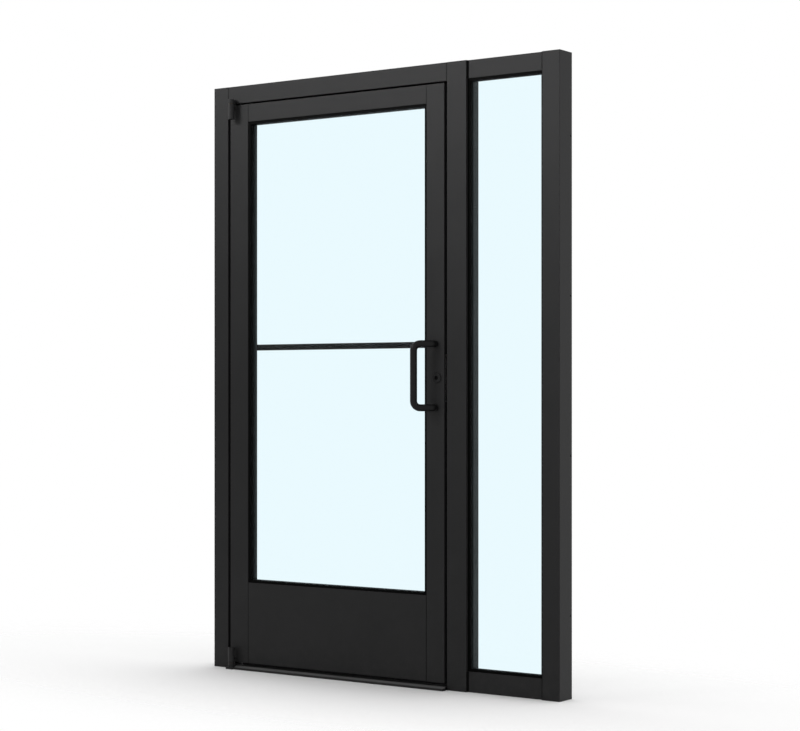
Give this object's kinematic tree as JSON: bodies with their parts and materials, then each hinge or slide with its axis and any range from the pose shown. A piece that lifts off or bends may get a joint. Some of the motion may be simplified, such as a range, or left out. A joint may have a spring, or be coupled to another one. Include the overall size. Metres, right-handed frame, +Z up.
{
  "type": "glass door",
  "caption": "Glazed black aluminium entrance door on offset pivots, with pull, push bar and deadlock, in a tubular frame with a narrow fixed sidelite.",
  "frame": {"origin": "on the floor, at the middle of the frame's width and depth, under the threshold", "axes": "+X along the wall from the hinge side to the sidelite, +Y inwards from the street face, +Z up"},
  "size_m": [1.4, 0.1795, 2.022],
  "materials": {
    "black_aluminium": "satin black coated extrusion",
    "black_beads": "matt black glazing stops",
    "threshold_aluminium": "dark anodised, lightly scuffed",
    "mill_aluminium": "plain mill finish",
    "glass": "clear glass with a pale blue cast",
    "rubber": "matt black",
    "pile": "dense black pile",
    "black_steel": "satin black",
    "black_screws": "blackened",
    "steel": "brushed",
    "bronze": "plain sintered"
  },
  "bodies": {
    "frame": {"hinge_jamb": "black_aluminium", "door_header": "black_aluminium", "mullion": "black_aluminium", "sidelite_jamb": "black_aluminium", "sidelite_head": "black_aluminium", "sidelite_sill": "black_aluminium", "frame_corner_blocks": "mill_aluminium", "hinge_door_stop": "black_aluminium", "strike_door_stop": "black_aluminium", "header_door_stop": "black_aluminium", "hinge_seal": "pile", "strike_seal": "pile", "header_seal": "pile", "threshold": "threshold_aluminium", "threshold_screws": "black_screws", "top_pivot_bracket": "black_steel", "top_pivot_pin": "steel", "bottom_pivot_base": "black_steel", "frame_pivot_screws": "black_screws", "strike_plate": "steel", "strike_screws": "steel", "sidelite_glass": "glass", "sidelite_outer_stops": "black_beads", "sidelite_inner_stops": "black_aluminium", "sidelite_outer_gasket": "rubber", "sidelite_inner_gasket": "rubber", "sidelite_setting_blocks": "rubber"},
    "door_leaf": {"hinge_stile": "black_aluminium", "lock_stile": "black_aluminium", "top_rail": "black_aluminium", "bottom_rail": "black_aluminium", "leaf_corner_blocks": "mill_aluminium", "tie_rods": "steel", "door_sweep": "pile", "top_pivot_arm": "black_steel", "bottom_pivot_arm": "black_steel", "pivot_bushes": "bronze", "leaf_pivot_screws": "black_screws", "lock_case": "steel", "lock_faceplate": "steel", "faceplate_screws": "steel", "outer_cylinder": "black_steel", "inner_cylinder": "black_steel", "cylinder_collars": "black_steel", "pull_handle": "black_steel", "push_bar": "black_steel", "push_bar_rosettes": "black_steel", "through_bolts": "steel", "door_glass": "glass", "door_outer_stops": "black_beads", "door_inner_stops": "black_aluminium", "door_outer_gasket": "rubber", "door_inner_gasket": "rubber", "door_setting_blocks": "rubber"},
    "thumbturn": {"thumbturn": "black_steel"},
    "deadbolt": {"deadbolt": "steel"},
    "key_plug": {"key_plug": "steel"}
  },
  "joints": [
    {"name": "door_swing", "type": "hinge", "parent": "frame", "child": "door_leaf", "pos_m": [-0.6065, -0.057, 0.9], "axis": [0, 0, -1], "range_deg": [0, 105]},
    {"name": "thumbturn_turn", "type": "hinge", "parent": "door_leaf", "child": "thumbturn", "pos_m": [0.2405, 0.0065, 1.006], "axis": [0, -1, 0], "range_deg": [0, 90]},
    {"name": "bolt_throw", "type": "hinge", "parent": "door_leaf", "child": "deadbolt", "pos_m": [0.2523, -0.01575, 1.03], "axis": [0, -1, 0], "range_deg": [0, 90]},
    {"name": "key_turn", "type": "hinge", "parent": "door_leaf", "child": "key_plug", "pos_m": [0.2405, -0.038, 1.006], "axis": [0, -1, 0], "range_deg": [0, 90]}
  ],
  "couplings": [
    {"joint": "bolt_throw", "follows": "thumbturn_turn", "ratio": 1}
  ]
}
